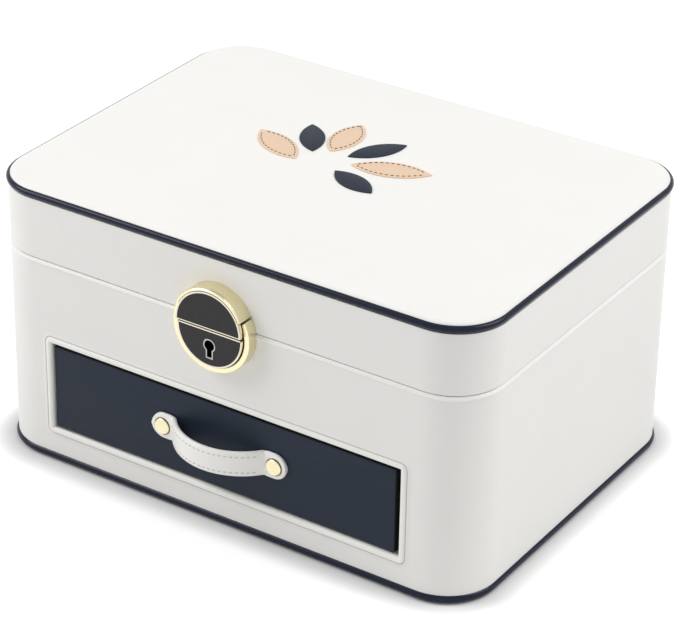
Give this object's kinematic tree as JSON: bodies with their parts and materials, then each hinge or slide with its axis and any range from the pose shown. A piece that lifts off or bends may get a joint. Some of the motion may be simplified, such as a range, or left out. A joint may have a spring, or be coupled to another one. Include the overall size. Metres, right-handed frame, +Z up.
{
  "type": "jewellery box with mirror and drawer",
  "caption": "Leather-covered jewellery box: hinged lid with inner mirror, lined tray with ring rolls, push-button key lock and a pull-out drawer with a strap handle.",
  "frame": {"origin": "middle of the plan, on the underside that the box stands on", "axes": "+X to the right seen from the front, -Y out of the front, +Z up"},
  "size_m": [0.26, 0.2047, 0.1394],
  "materials": {
    "cream_leather": "satin, fine grain",
    "navy_leather": "satin, fine grain",
    "nude_leather": "satin, fine grain",
    "board": "raw fibreboard",
    "felt": "pressed felt",
    "foam": "open-cell foam",
    "velvet": "short-pile velvet",
    "mirror": "silvered glass",
    "gold": "polished pale gold plate",
    "enamel": "gloss black enamel",
    "steel": "zinc-plated"
  },
  "bodies": {
    "case": {"base_board": "board", "base_felt": "felt", "bay_floor": "board", "bay_wall_left": "board", "bay_wall_right": "board", "bottom_piping": "navy_leather", "button_spring": "steel", "case_board": "board", "case_cover": "cream_leather", "drawer_bumpers": "felt", "floor_battens": "board", "hinge_case_leaf_left": "gold", "hinge_case_leaf_right": "gold", "hinge_case_screws": "gold", "hinge_pins": "steel", "lock_box": "steel", "lock_ring": "gold", "opening_trim": "cream_leather", "rim_ledge": "velvet", "ring_rolls": "velvet", "shelf_board": "board", "tray_divider_cross": "velvet", "tray_divider_left": "velvet", "tray_divider_right": "velvet", "tray_lining": "velvet"},
    "lid": {"clasp_cap": "gold", "clasp_cap_inlay": "enamel", "clasp_striker": "gold", "hinge_lid_leaf_left": "gold", "hinge_lid_leaf_right": "gold", "hinge_lid_screws": "gold", "lid_board": "board", "lid_ceiling_board": "board", "lid_cover": "cream_leather", "lid_lining": "velvet", "lid_piping": "navy_leather", "lid_top_board": "board", "lid_top_foam": "foam", "lid_top_leather": "cream_leather", "mirror_frame": "gold", "mirror_glass": "mirror", "motif_leaves_dark": "navy_leather", "motif_leaves_light": "nude_leather", "striker_screws": "gold"},
    "drawer": {"drawer_back": "board", "drawer_bottom": "board", "drawer_divider_cross": "velvet", "drawer_divider_long": "velvet", "drawer_front_board": "board", "drawer_front_leather": "navy_leather", "drawer_lining": "velvet", "drawer_side_left": "board", "drawer_side_right": "board", "pull_strap": "cream_leather", "rivet_washers": "steel", "strap_rivets": "gold"},
    "lock_button": {"lock_button": "gold", "lock_button_inlay": "enamel", "keyhole_rim": "gold"},
    "key_cylinder": {"key_cylinder": "steel"}
  },
  "joints": [
    {"name": "lid_hinge", "type": "hinge", "parent": "case", "child": "lid", "pos_m": [0, 0.0935, 0.10395], "axis": [-1, 0, 0], "range_deg": [0, 98]},
    {"name": "drawer_slide", "type": "slide", "parent": "case", "child": "drawer", "axis": [0, -1, 0], "range_m": [0, 0.13]},
    {"name": "button_press", "type": "slide", "parent": "case", "child": "lock_button", "axis": [0, 1, 0], "range_m": [0, 0.0018], "stiffness_N_per_m": 500, "springref_m": -0.0012, "deforming": ["button_spring"]},
    {"name": "key_turn", "type": "hinge", "parent": "lock_button", "child": "key_cylinder", "pos_m": [0, -0.09, 0.0954], "axis": [0, -1, 0], "range_deg": [0, 90]}
  ]
}
